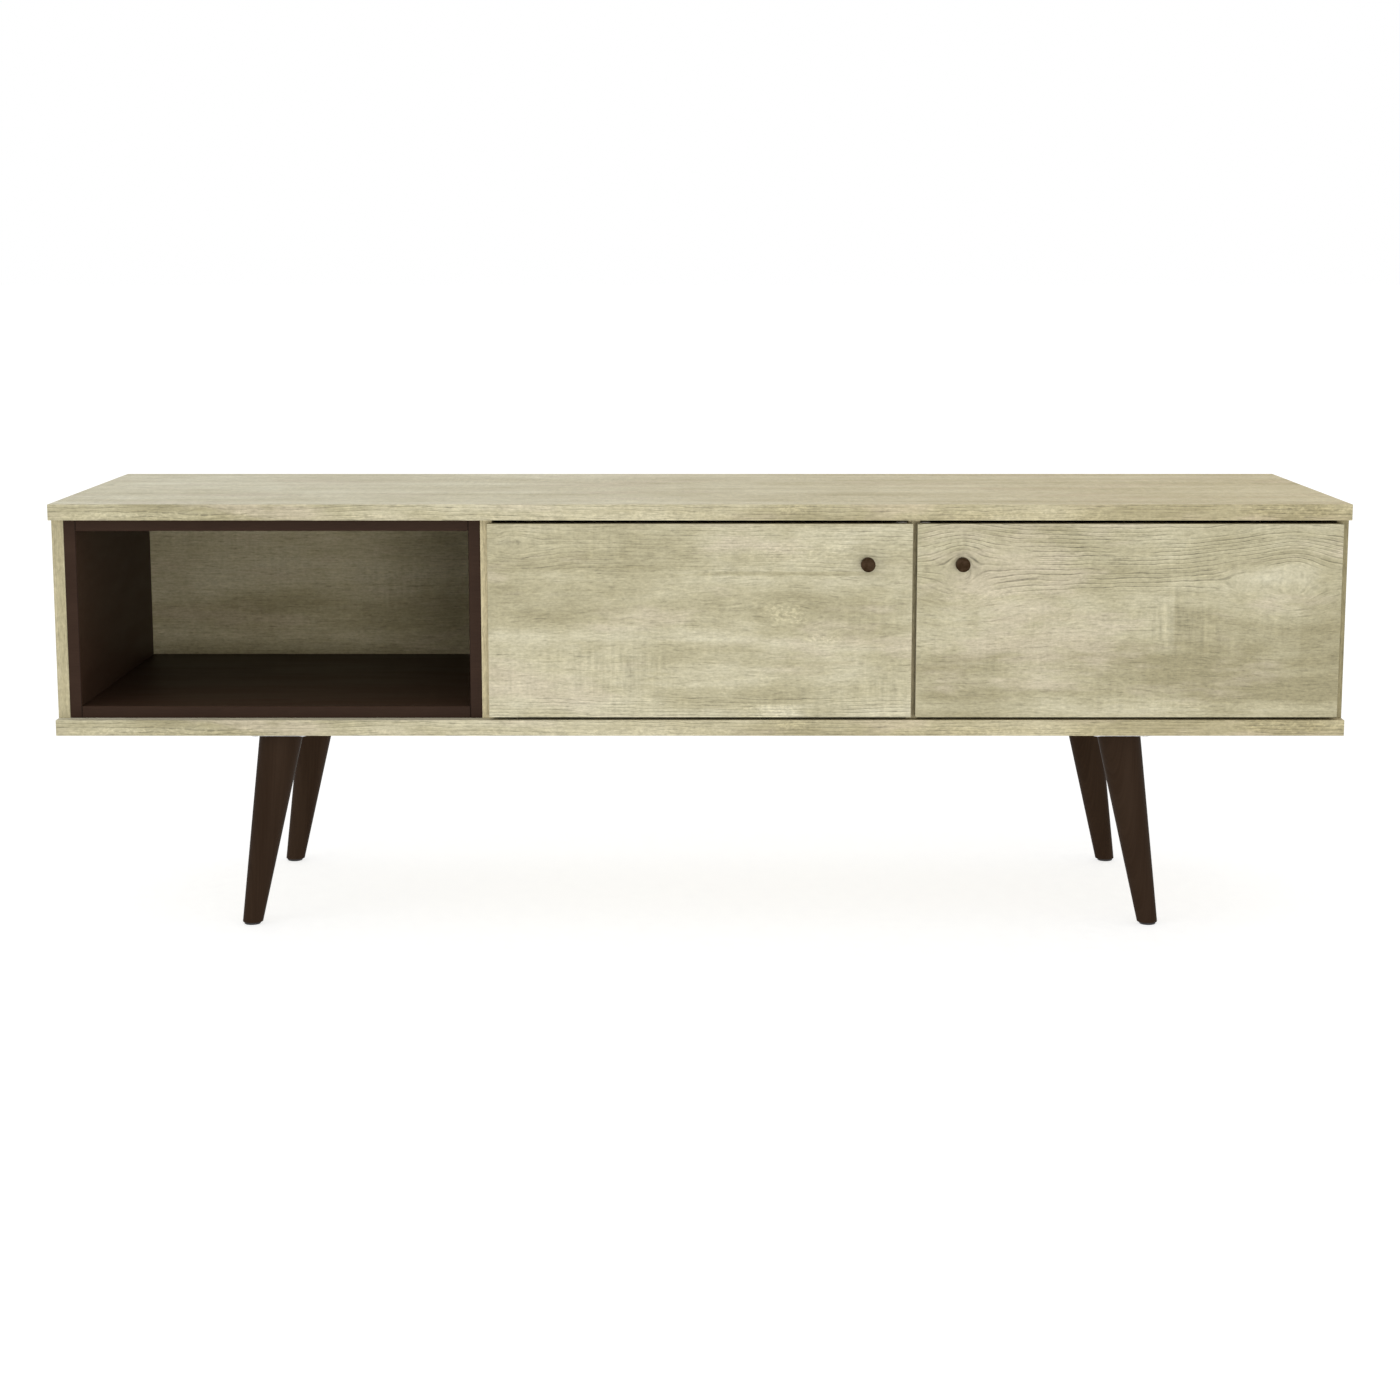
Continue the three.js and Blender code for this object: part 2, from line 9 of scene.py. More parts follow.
import bmesh
import bpy
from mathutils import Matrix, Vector


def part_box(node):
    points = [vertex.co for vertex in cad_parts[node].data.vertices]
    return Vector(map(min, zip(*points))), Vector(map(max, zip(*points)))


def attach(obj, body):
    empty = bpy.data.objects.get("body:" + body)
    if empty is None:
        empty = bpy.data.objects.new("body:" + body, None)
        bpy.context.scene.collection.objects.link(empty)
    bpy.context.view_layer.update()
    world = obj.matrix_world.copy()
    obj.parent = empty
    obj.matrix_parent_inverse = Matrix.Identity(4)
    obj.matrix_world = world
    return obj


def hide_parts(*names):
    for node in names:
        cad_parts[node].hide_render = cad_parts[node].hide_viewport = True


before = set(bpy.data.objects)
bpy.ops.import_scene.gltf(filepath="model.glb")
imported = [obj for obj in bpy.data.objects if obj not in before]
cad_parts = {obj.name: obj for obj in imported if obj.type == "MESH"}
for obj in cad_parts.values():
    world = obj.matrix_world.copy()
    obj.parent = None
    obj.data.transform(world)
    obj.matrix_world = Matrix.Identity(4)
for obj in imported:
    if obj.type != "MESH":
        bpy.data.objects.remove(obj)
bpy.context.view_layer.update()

MM = 0.001
FACING = 0.7  # a face looks along an axis when this much of its normal does
SIDES = ("left", "right")
HINGES = [f"{side}_{level}" for side in SIDES for level in ("upper", "lower")]
LEGS = [f"{end}_{side}" for side in SIDES for end in ("front", "rear")]


# ------------------------------------------------------------------------------------------- material nodes


def opaque(colour):
    """Adds the alpha that a colour socket wants to a plain (red, green, blue)."""
    return (*colour, 1.0) if isinstance(colour, tuple) and len(colour) == 3 else colour


SHEET_GAP = 7.31  # from one seed's sheet of noise to the next


class Surface:
    """A material's node tree, with a short method for each kind of node that the finishes use."""

    def __init__(self, name, specular=0.5, metallic=0.0):
        self.material = bpy.data.materials.new(name)
        self.material.use_nodes = True
        self.tree = self.material.node_tree
        self.shader = self.tree.nodes["Principled BSDF"]
        self.shader.inputs["Specular IOR Level"].default_value = specular
        self.shader.inputs["Metallic"].default_value = metallic
        source = self.node("ShaderNodeTexCoord")
        self.x, self.y, self.z = self.parts(source.outputs["Object"])
        normal_x, _, normal_z = self.parts(source.outputs["Normal"])
        self.faces_x = self.math("GREATER_THAN", self.size_of(normal_x), FACING)
        self.faces_z = self.math("GREATER_THAN", self.size_of(normal_z), FACING)

    def node(self, kind, inputs=None, **settings):
        made = self.tree.nodes.new(kind)
        for name, value in settings.items():
            setattr(made, name, value)
        for name, value in (inputs or {}).items():
            self.feed(made.inputs[name], value)
        return made

    def feed(self, socket, value):
        if isinstance(value, bpy.types.NodeSocket):
            self.tree.links.new(value, socket)
        else:
            socket.default_value = opaque(value)

    def parts(self, vector):
        return self.node("ShaderNodeSeparateXYZ", {"Vector": vector}).outputs

    def math(self, operation, *values):
        made = self.node("ShaderNodeMath", operation=operation)
        for socket, value in zip(made.inputs, values):
            self.feed(socket, value)
        return made.outputs[0]

    def add(self, first, *rest):
        for value in rest:
            first = self.math("ADD", first, value)
        return first

    def times(self, first, *rest):
        for value in rest:
            first = self.math("MULTIPLY", first, value)
        return first

    def minus(self, first, second):
        return self.math("SUBTRACT", first, second)

    def size_of(self, value):
        return self.math("ABSOLUTE", value)

    def noise(self, along, across, seed, detail=2.0, roughness=0.5):
        """Noise from 0 to 1 over two scaled coordinates. Each seed is another sheet of it."""
        where = self.node("ShaderNodeCombineXYZ", {"X": along, "Y": across, "Z": seed * SHEET_GAP})
        inputs = {"Vector": where.outputs[0], "Scale": 1.0, "Detail": detail, "Roughness": roughness}
        return self.node("ShaderNodeTexNoise", inputs).outputs[0]

    def centred(self, along, across, seed, detail=2.0, roughness=0.5):
        """The same noise, about zero."""
        return self.minus(self.noise(along, across, seed, detail, roughness), 0.5)

    def smooth(self, value, low, high, start=0.0, end=1.0):
        """start below low, end above high, and a smooth step between them."""
        inputs = {"Value": value, "From Min": low, "From Max": high, "To Min": start, "To Max": end}
        return self.node("ShaderNodeMapRange", inputs, interpolation_type="SMOOTHSTEP").outputs[0]

    def pick(self, factor, first, second):
        """first where factor is 0 and second where it is 1, for numbers."""
        made = self.node("ShaderNodeMix", data_type="FLOAT")
        for index, value in zip((0, 2, 3), (factor, first, second)):
            self.feed(made.inputs[index], value)
        return made.outputs[0]

    def blend(self, factor, first, second):
        """first where factor is 0 and second where it is 1, for colours."""
        made = self.node("ShaderNodeMix", data_type="RGBA")
        for index, value in zip((0, 6, 7), (factor, first, second)):
            self.feed(made.inputs[index], value)
        return made.outputs[2]

    def ramp(self, value, stops):
        made = self.node("ShaderNodeValToRGB", {"Fac": value})
        elements = made.color_ramp.elements
        while len(elements) < len(stops):
            elements.new(0.5)
        for element, (position, colour) in zip(elements, stops):
            element.position = position
            element.color = opaque(colour)
        return made.outputs[0]

    def lit(self, colour, amount):
        """A colour made lighter or darker by a factor."""
        made = self.node("ShaderNodeVectorMath", {"Scale": amount}, operation="SCALE")
        self.feed(made.inputs[0], colour)
        return made.outputs[0]

    def tinted(self, colour, tint):
        made = self.node("ShaderNodeVectorMath", operation="MULTIPLY")
        self.feed(made.inputs[0], colour)
        self.feed(made.inputs[1], tint)
        return made.outputs[0]

    def finish(self, colour, height, depth, roughness):
        """Colour, bump and roughness go to the shader. depth is the bump's height in metres."""
        self.feed(self.shader.inputs["Base Color"], colour)
        self.feed(self.shader.inputs["Roughness"], roughness)
        bump = self.node("ShaderNodeBump", {"Height": height, "Distance": depth, "Strength": 1.0})
        self.feed(self.shader.inputs["Normal"], bump.outputs[0])
        return self.material


# ------------------------------------------------------------------------------- the weathered oak print

OAK_TONES = [
    (0.30, (0.300, 0.267, 0.159)),
    (0.43, (0.408, 0.372, 0.243)),
    (0.54, (0.505, 0.468, 0.332)),
    (0.68, (0.602, 0.573, 0.440)),
]
OAK_PINK = (0.510, 0.447, 0.336)
OAK_AGED = (0.935, 0.860, 0.710)  # what the colour is multiplied by where the print looks most yellowed
RING_SPACING = 3.9 * MM

# A knot bends the grain round a point. size is its radius, and stretch how much longer it is along the grain.
# The rings close up inside it when softness is below 1.
Knot = namedtuple("Knot", "along across size stretch softness", defaults=[1.0])

# A patch of the print, or a patch of painted shade laid over it, with how far it fades out along and across
# the grain.
# amount is how much paler it is, or darker where it is below 0, or how strongly its pale flecks or saw marks
# show.
Patch = namedtuple("Patch", "start end low high fade_along fade_across amount")

# How much each kind of mark lightens the print, or darkens it below 0, and how far it stands out in the bump.
MARK_LIGHT = {
    "fibre": 0.56,
    "grit": 0.52,
    "dark_dashes": -0.15,
    "pale_dashes": 0.12,
    "cracks": -0.22,
    "saw_marks": 0.40,
    "flecks": 1.0,
    "rings": -1.0,
}
MARK_HEIGHT = {"fibre": 0.8, "grit": 0.4, "dark_dashes": -0.5, "cracks": -0.8, "rings": -1.5}


def grain_flow(s, along, across, seed, knots):
    """The coordinate across the grain, after the grain's drift, its small waves and its bends round knots."""
    drift = s.centred(s.times(along, 1.4), s.times(across, 8.0), seed, detail=2.0)
    waves = s.centred(s.times(along, 26.0), s.times(across, 30.0), seed + 10, detail=2.0)
    flow = s.add(across, s.times(drift, 0.020), s.times(waves, 0.0042))
    for knot in knots:
        dx = s.times(s.minus(along, knot.along), 1.0 / knot.stretch)
        dy = s.minus(across, knot.across)
        distance = s.add(s.times(dx, dx), s.times(dy, dy), knot.softness * knot.size ** 2)
        flow = s.minus(flow, s.math("DIVIDE", s.times(dy, knot.size ** 2), distance))
    return flow


RAGGED = 3.0  # how far noise moves the edges of a patch, in widths of their fade


def feathered(s, distance, half_size, fade):
    """1 within half_size of the middle and 0 outside it, with a soft edge."""
    return s.smooth(distance, half_size - fade, half_size + fade, 1.0, 0.0)


def sum_of_patches(s, along, across, seed, patches):
    """The patches' amounts added up, each with feathered edges that follow the grain."""
    ragged = s.centred(s.times(along, 22.0), s.times(across, 240.0), seed + 11, detail=3.0)
    wander = s.centred(s.times(along, 9.0), s.times(across, 20.0), seed + 12, detail=2.0)
    total = 0.0
    for patch in patches:
        offset = s.size_of(s.minus(along, (patch.start + patch.end) / 2))
        offset = s.add(offset, s.times(ragged, RAGGED * patch.fade_along))
        rise = s.size_of(s.minus(across, (patch.low + patch.high) / 2))
        rise = s.add(rise, s.times(wander, RAGGED * patch.fade_across))
        inside_along = feathered(s, offset, (patch.end - patch.start) / 2, patch.fade_along)
        inside_across = feathered(s, rise, (patch.high - patch.low) / 2, patch.fade_across)
        total = s.add(total, s.times(inside_along, inside_across, patch.amount))
    return total


def scattered(s, along, across, seed, fineness, threshold, detail=1.0):
    """Marks that are 1 in the peaks of a noise and 0 elsewhere. fineness is along and across the grain."""
    peaks = s.noise(s.times(along, fineness[0]), s.times(across, fineness[1]), seed, detail=detail)
    return s.smooth(peaks, *threshold)


def growth_rings(s, along, across, flow, seed, figure):
    """Thin dark lines along the grain, with a pale line beside each. figure is how strongly they show."""
    wobble = s.centred(s.times(along, 7.0), s.times(flow, 70.0), seed + 6, detail=3.0)
    turn = s.add(s.times(flow, 2 * math.pi / RING_SPACING), s.times(wobble, 11.0))
    broken = scattered(s, along, across, seed + 13, (16.0, 90.0), (0.32, 0.52), detail=2.0)
    dark = s.smooth(s.math("SINE", turn), 0.62, 1.0)
    pale = s.smooth(s.math("SINE", s.add(turn, 1.4)), 0.50, 1.0)
    lines = s.minus(s.times(dark, 0.30), s.times(pale, 0.13))
    return s.times(lines, broken, figure)


def print_colour(s, along, across, flow, seed, patches, tone, warmth):
    """The print's broad colour: streaks, clouds and patches of tone, any patches of painted shade, pinkish
    areas and yellowing.
    """
    streaks = s.centred(s.times(along, 2.2), s.times(flow, 30.0), seed + 1, detail=5.0, roughness=0.6)
    clouds = s.centred(s.times(along, 9.0), s.times(across, 15.0), seed + 2, detail=7.0, roughness=0.66)
    patchy = sum_of_patches(s, along, across, seed, patches)
    tone = s.add(tone, s.times(streaks, 0.42), s.times(clouds, 0.40), patchy)
    blush = s.noise(s.times(along, 6.0), s.times(across, 24.0), seed + 3, detail=4.0, roughness=0.6)
    colour = s.blend(s.smooth(blush, 0.51, 0.67, 0.0, 0.55), s.ramp(tone, OAK_TONES), OAK_PINK)
    return s.tinted(colour, s.blend(warmth, (1.0, 1.0, 1.0), OAK_AGED))


def print_marks(s, along, across, flow, seed, flecked, sawn, figure):
    """The print's fine marks by name. Those that belong to the wood's growth follow its flow."""
    sawn_area = scattered(s, along, across, seed + 8, (9.0, 17.0), (0.46, 0.60), detail=2.0)
    sawn_area = s.add(s.times(sawn_area, 0.8), sum_of_patches(s, along, across, seed + 20, sawn))
    saw_cuts = s.centred(s.times(along, 230.0), s.times(across, 26.0), seed + 7, detail=3.0)
    flecks = scattered(s, along, across, seed + 15, (240.0, 400.0), (0.48, 0.62), detail=2.0)
    return {
        "fibre": s.centred(s.times(along, 90.0), s.times(flow, 380.0), seed + 4, detail=3.0, roughness=0.75),
        "grit": s.centred(s.times(along, 260.0), s.times(across, 420.0), seed + 9, detail=2.0, roughness=0.7),
        "dark_dashes": scattered(s, along, flow, seed + 5, (95.0, 620.0), (0.56, 0.72)),
        "pale_dashes": scattered(s, along, flow, seed + 14, (80.0, 560.0), (0.56, 0.74)),
        "cracks": scattered(s, along, flow, seed + 16, (32.0, 900.0), (0.62, 0.76)),
        "saw_marks": s.times(saw_cuts, sawn_area),
        "flecks": s.times(flecks, sum_of_patches(s, along, across, seed + 30, flecked)),
        "rings": growth_rings(s, along, across, flow, seed, figure),
    }


def oak_print(s, along, across, seed, figure, tone, warmth=0.0, knots=(), patches=(), flecked=(), sawn=()):
    """Colour and height of the print. figure is how strongly its growth rings show, tone how pale it is and
    warmth how yellowed, and each is a number or a socket."""
    flow = grain_flow(s, along, across, seed, knots)
    colour = print_colour(s, along, across, flow, seed, patches, tone, warmth)
    marks = print_marks(s, along, across, flow, seed, flecked, sawn, figure)
    light = s.add(1.0, *(s.times(marks[name], weight) for name, weight in MARK_LIGHT.items()))
    height = s.add(*(s.times(marks[name], weight) for name, weight in MARK_HEIGHT.items()))
    return s.lit(colour, light), height


# For each kind of board, the axes that run along and across its grain on faces that look along X, Y and Z.
GRAIN = {
    "slab": {"X": "yz", "Y": "xz", "Z": "xy"},
    "door": {"X": "zy", "Y": "xz", "Z": "xy"},
    "upright": {"X": "yz", "Y": "zx", "Z": "yx"},
}


def grain_axes(s, kind, x, y, z):
    """The coordinates along and across the grain, on whichever face of a board this is."""
    coordinates = {"x": x, "y": y, "z": z}
    chosen = []
    for place in (0, 1):
        on_x, on_y, on_z = (coordinates[GRAIN[kind][face][place]] for face in "XYZ")
        chosen.append(s.pick(s.faces_x, s.pick(s.faces_z, on_y, on_z), on_x))
    return chosen


def oak_finish(s, along, across, seed, **print_settings):
    colour, height = oak_print(s, along, across, seed, **print_settings)
    roughness = s.smooth(height, -0.3, 0.3, 0.66, 0.50)
    return s.finish(colour, height, 0.10 * MM, roughness)


def plain_oak(name, kind, seed, specular=0.20, **print_settings):
    s = Surface(name, specular=specular)
    along, across = grain_axes(s, kind, s.x, s.y, s.z)
    return oak_finish(s, along, across, seed, **print_settings)


def slab_oak():
    """Both slabs carry the same strip of print on their edges, and a calmer print on their faces. Painted
    shade darkens their edges all along, so the top stays lighter than the front.
    """
    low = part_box("bottom_slab")[0]
    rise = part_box("top_slab")[0].z - low.z
    s = Surface("oak_slab", specular=0.15)
    above = s.minus(s.z, low.z)
    above = s.minus(above, s.times(s.math("GREATER_THAN", above, rise / 2), rise))
    strip = s.minus(above, 1.0)  # a metre away from the faces' own stretch of print
    along, across = grain_axes(s, "slab", s.x, s.minus(s.y, low.y), strip)
    patches = [
        # painted shade: darkens every edge of both slabs along their whole length, so the top reads lighter
        # than the front
        Patch(-0.800, 0.800, -1.01, -0.97, 0.020, 0.004, -0.120),
        Patch(-0.640, -0.300, -0.991, -0.97, 0.040, 0.002, -0.060),
        Patch(-0.565, -0.440, -1.01, -0.97, 0.020, 0.004, -0.070),
        Patch(-0.120, 0.020, -1.01, -0.97, 0.030, 0.004, 0.030),
        Patch(0.060, 0.180, -1.01, -0.97, 0.015, 0.004, -0.060),
        Patch(0.370, 0.440, -1.01, -0.97, 0.015, 0.004, -0.050),
        Patch(0.540, 0.700, -1.01, -0.97, 0.060, 0.004, -0.090),
    ]
    flecked = [
        Patch(0.078, 0.106, -0.994, -0.984, 0.006, 0.004, 0.34),
        Patch(0.540, 0.645, -0.996, -0.984, 0.020, 0.004, 0.30),
        Patch(-0.640, -0.440, -1.000, -0.990, 0.030, 0.004, 0.28),
        Patch(0.200, 0.420, -1.000, -0.990, 0.040, 0.004, 0.18),
        Patch(-0.380, 0.050, -1.000, -0.992, 0.060, 0.004, 0.14),
    ]
    yellowing = s.smooth(s.x, -0.6, 0.7, 0.0, 1.0)
    return oak_finish(
        s,
        along,
        across,
        3,
        knots=[Knot(-0.500, -0.992, 0.006, 3.0)],
        patches=patches,
        flecked=flecked,
        figure=s.pick(s.faces_z, 0.9, 0.45),
        tone=s.pick(s.faces_z, 0.560, 0.580),
        warmth=s.times(yellowing, s.pick(s.faces_z, 0.46, 1.0)),
    )


# Knots and patches of each door's print, measured from the middle of the door.
LEFT_DOOR_KNOTS = [
    Knot(-0.185, 0.077, 0.012, 1.5),
    Knot(0.086, 0.008, 0.012, 1.8, 0.8),
    Knot(0.146, -0.015, 0.006, 2.2, 0.8),
]
LEFT_DOOR_FLECKS = [
    Patch(0.068, 0.104, -0.006, 0.020, 0.012, 0.007, 0.33),
    Patch(0.108, 0.146, -0.022, -0.012, 0.010, 0.003, 0.25),
    Patch(0.040, 0.100, -0.100, -0.084, 0.012, 0.004, 0.20),
    Patch(0.050, 0.150, 0.056, 0.082, 0.020, 0.008, 0.15),
]
LEFT_DOOR_SAWN = [
    Patch(-0.205, -0.040, -0.075, -0.035, 0.020, 0.006, 0.9),
    Patch(0.150, 0.200, -0.075, -0.035, 0.015, 0.006, 0.8),
]
LEFT_DOOR_PATCHES = [
    Patch(-0.300, -0.060, 0.045, 0.130, 0.060, 0.030, -0.040),
    Patch(-0.300, 0.010, 0.050, 0.058, 0.030, 0.004, -0.055),
    Patch(0.000, 0.175, 0.046, 0.050, 0.030, 0.001, -0.100),
    Patch(0.100, 0.160, 0.060, 0.090, 0.020, 0.010, 0.070),
    Patch(0.065, 0.185, -0.018, 0.032, 0.018, 0.010, -0.065),
    Patch(0.072, 0.100, -0.004, 0.018, 0.010, 0.006, 0.060),
    Patch(-0.200, -0.100, 0.000, 0.008, 0.040, 0.004, -0.035),
    Patch(-0.240, 0.055, -0.020, -0.008, 0.040, 0.004, 0.045),
    Patch(-0.120, 0.080, -0.031, -0.022, 0.030, 0.003, -0.045),
    Patch(-0.040, 0.080, -0.068, -0.040, 0.020, 0.008, 0.050),
    Patch(-0.185, -0.100, -0.066, -0.040, 0.020, 0.008, 0.030),
    Patch(-0.030, 0.045, -0.090, -0.076, 0.018, 0.005, -0.080),
    Patch(0.060, 0.105, -0.098, -0.084, 0.012, 0.004, 0.090),
    Patch(-0.240, -0.045, -0.110, -0.077, 0.040, 0.002, 0.030),
]
KNOB_KNOT = Knot(-0.1675, 0.053, 0.023, 1.0, 0.8)
EYE = Knot(0.157, 0.046, 0.010, 3.2)
RIGHT_DOOR_KNOTS = [
    Knot(0.166, 0.040, 0.029, 1.0),
    Knot(0.120, 0.040, 0.012, 2.2),
]
RIGHT_DOOR_FLECKS = [
    Patch(-0.190, -0.100, 0.018, 0.034, 0.020, 0.006, 0.15),
    Patch(0.040, 0.210, -0.092, -0.080, 0.020, 0.003, 0.12),
]
RIGHT_DOOR_SAWN = [
    Patch(0.015, 0.090, -0.024, 0.018, 0.010, 0.006, 1.1),
    Patch(0.130, 0.165, -0.020, 0.010, 0.008, 0.006, 0.9),
]
RIGHT_DOOR_PATCHES = [
    Patch(0.124, 0.190, 0.038, 0.056, 0.010, 0.004, 0.055),
    Patch(-0.300, 0.000, -0.090, -0.042, 0.040, 0.008, 0.045),
    Patch(-0.300, -0.130, -0.030, 0.075, 0.040, 0.020, 0.050),
    Patch(-0.150, 0.046, -0.022, 0.020, 0.002, 0.010, 0.040),
    Patch(0.046, 0.300, -0.040, 0.022, 0.002, 0.014, -0.040),
    Patch(0.173, 0.300, -0.042, 0.020, 0.002, 0.010, -0.035),
    Patch(-0.185, 0.060, -0.041, -0.034, 0.030, 0.003, -0.080),
    Patch(-0.040, 0.300, -0.076, -0.034, 0.060, 0.008, -0.060),
    Patch(0.080, 0.300, -0.130, -0.020, 0.060, 0.010, -0.085),
    Patch(0.020, 0.300, -0.092, -0.080, 0.030, 0.001, 0.045),
    Patch(-0.240, -0.110, -0.110, -0.088, 0.030, 0.004, -0.050),
]


def door_surface(side):
    """A door's surface, and the coordinates along and across its grain from the middle of the door."""
    low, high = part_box(f"door_{side}")
    s = Surface(f"oak_door_{side}", specular=0.20)
    from_middle = [s.minus(place, middle) for place, middle in zip((s.x, s.y, s.z), (low + high) / 2)]
    along, across = grain_axes(s, "door", *from_middle)
    return s, along, across


def left_door_oak():
    """Its print has an upper and a lower plank with clear growth rings, and a calm one between them."""
    s, along, across = door_surface("left")
    upper_plank = s.smooth(across, 0.050, 0.054, 0.10, 0.55)
    lower_plank = s.smooth(across, -0.079, -0.075, 0.85, 0.0)
    return oak_finish(
        s,
        along,
        across,
        11,
        knots=LEFT_DOOR_KNOTS,
        patches=LEFT_DOOR_PATCHES,
        flecked=LEFT_DOOR_FLECKS,
        sawn=LEFT_DOOR_SAWN,
        figure=s.add(upper_plank, lower_plank),
        tone=0.455,
    )


def right_door_oak():
    """Growth rings arch over the knob and over a pale eye without rings, and fade out below them."""
    s, along, across = door_surface("right")
    dx = s.times(s.minus(along, EYE.along), 1.0 / (EYE.size * EYE.stretch))
    dy = s.times(s.minus(across, EYE.across), 1.0 / EYE.size)
    outside_eye = s.smooth(s.add(s.times(dx, dx), s.times(dy, dy)), 0.7, 1.3)
    near_knob = s.smooth(s.size_of(s.minus(along, KNOB_KNOT.along)), 0.015, 0.050, 0.043, 0.022)
    near_eye = s.smooth(s.size_of(s.minus(along, EYE.along)), 0.025, 0.060, 0.024, 0.0)
    lowest_line = s.add(near_knob, near_eye)
    rings = s.smooth(s.minus(across, lowest_line), 0.0, 0.014, 0.10, 1.2)
    return oak_finish(
        s,
        along,
        across,
        14,
        knots=[KNOB_KNOT, *RIGHT_DOOR_KNOTS],
        patches=RIGHT_DOOR_PATCHES,
        flecked=RIGHT_DOOR_FLECKS,
        sawn=RIGHT_DOOR_SAWN,
        figure=s.times(rings, outside_eye),
        tone=0.41,
    )


# ------------------------------------------------------------------------------------------ other finishes


def dark_laminate():
    """The liner's finish. Its front edges are a little darker, with a thin line of painted shade where its
    roof and floor meet its uprights, standing in for the shade in the seam."""
    s = Surface("espresso_laminate", specular=0.08)
    along, across = grain_axes(s, "slab", s.x, s.y, s.z)
    mottle = s.noise(s.times(along, 9.0), s.times(across, 40.0), 31, detail=4.0)
    fibre = s.noise(s.times(along, 60.0), s.times(across, 1500.0), 32, detail=2.0)
    tone = s.add(s.times(mottle, 0.45), s.times(fibre, 0.55))
    colour = s.ramp(tone, [(0.35, (0.0345, 0.0174, 0.0102)), (0.65, (0.0475, 0.0255, 0.0155))])

    roof_low, roof_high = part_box("liner_top")
    from_middle = s.size_of(s.minus(s.x, (roof_low.x + roof_high.x) / 2))
    from_joint = s.size_of(s.minus(from_middle, (roof_high.x - roof_low.x) / 2))
    on_front = s.times(s.minus(1.0, s.faces_x), s.minus(1.0, s.faces_z))
    # on the front faces: a little darker all over, and a thin line of painted shade at each seam with the
    # uprights
    darker = s.smooth(from_joint, 0.3 * MM, 0.9 * MM, 0.65, 0.22)
    colour = s.lit(colour, s.minus(1.0, s.times(darker, on_front)))
    return s.finish(colour, fibre, 0.02 * MM, s.smooth(mottle, 0.3, 0.7, 0.46, 0.53))


STAIN_SHEEN = 0.015  # hardly any, so the dark wood keeps its depth in white surroundings


def stain(s, fibre, blotches, darkest, palest):
    """A dark stain over turned wood, which takes it unevenly."""
    tone = s.add(s.times(blotches, 0.6), s.times(fibre, 0.4))
    colour = s.ramp(tone, [(0.35, darkest), (0.65, palest)])
    return s.finish(colour, fibre, 0.05 * MM, s.smooth(fibre, 0.3, 0.7, 0.38, 0.52))


def leg_wood():
    """The grain runs down the leg."""
    s = Surface("stained_leg", specular=STAIN_SHEEN)
    around = s.add(s.x, s.y)
    fibre = s.noise(s.times(s.z, 14.0), s.times(around, 700.0), 41, detail=4.0, roughness=0.6)
    blotches = s.noise(s.times(s.z, 5.0), s.times(around, 45.0), 42, detail=3.0)
    return stain(s, fibre, blotches, (0.0240, 0.0137, 0.0080), (0.0350, 0.0212, 0.0132))


def knob_wood():
    """The grain runs across the face, with small blotches where the stain has pooled."""
    s = Surface("stained_knob", specular=STAIN_SHEEN)
    fibre = s.noise(s.times(s.x, 120.0), s.times(s.add(s.z, s.y), 900.0), 43, detail=3.0, roughness=0.6)
    blotches = s.noise(s.times(s.x, 210.0), s.times(s.z, 230.0), 44, detail=3.0)
    return stain(s, fibre, blotches, (0.0195, 0.0103, 0.0030), (0.0570, 0.0345, 0.0200))


def plated_steel(name, colour, smoothest):
    s = Surface(name, metallic=1.0)
    sideways = s.add(s.x, s.y)
    cloud = s.noise(s.times(sideways, 160.0), s.times(s.z, 160.0), 51, detail=4.0)
    scratches = s.noise(s.times(sideways, 300.0), s.times(s.z, 4200.0), 52, detail=2.0)
    shaded = tuple(channel * 0.78 for channel in colour)
    tint = s.blend(s.smooth(cloud, 0.35, 0.7), colour, shaded)
    wear = s.add(s.times(cloud, 0.6), s.times(scratches, 0.4))
    return s.finish(tint, scratches, 0.01 * MM, s.smooth(wear, 0.3, 0.7, smoothest, smoothest + 0.18))


def moulded(name, colour, smoothest, transmission=0.0):
    """Moulded plastic or rubber with a fine sparked texture."""
    s = Surface(name, specular=0.4)
    s.shader.inputs["Transmission Weight"].default_value = transmission
    sideways = s.add(s.x, s.y)
    texture = s.noise(s.times(sideways, 1600.0), s.times(s.z, 1600.0), 61, detail=2.0)
    cloud = s.noise(s.times(sideways, 90.0), s.times(s.z, 90.0), 62, detail=2.0)
    shaded = tuple(channel * 0.88 for channel in colour)
    tint = s.blend(s.smooth(cloud, 0.3, 0.7), colour, shaded)
    return s.finish(tint, texture, 0.02 * MM, s.smooth(cloud, 0.3, 0.7, smoothest, smoothest + 0.1))


# --------------------------------------------------------------------------------------------- mesh helpers


def circle(radius, height, sides):
    angles = [2 * math.pi * i / sides for i in range(sides)]
    return [Vector((radius * math.cos(a), radius * math.sin(a), height)) for a in angles]


def arc(centre, radius, start, end, steps=6):
    """Points on an arc, from one angle to another in degrees."""
    angles = [math.radians(start + (end - start) * i / steps) for i in range(steps + 1)]
    return [(centre[0] + radius * math.cos(a), centre[1] + radius * math.sin(a)) for a in angles]


def new_piece(name, bm, material, body, sharp_angle=35.0):
    """Turns a bmesh into an object that rides on a CAD body."""
    bmesh.ops.recalc_face_normals(bm, faces=bm.faces)
    mesh = bpy.data.meshes.new(name)
    bm.to_mesh(mesh)
    bm.free()
    for polygon in mesh.polygons:
        polygon.use_smooth = True
    mesh.set_sharp_from_angle(angle=math.radians(sharp_angle))
    mesh.materials.append(material)
    piece = bpy.data.objects.new(name, mesh)
    bpy.context.scene.collection.objects.link(piece)
    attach(piece, body)
    return piece


def standing_on(place, outward):
    """A matrix that puts a shape drawn up +Z on a surface, facing outward."""
    matrix = Vector(outward).to_track_quat("Z", "Y").to_matrix().to_4x4()
    matrix.translation = place
    return matrix


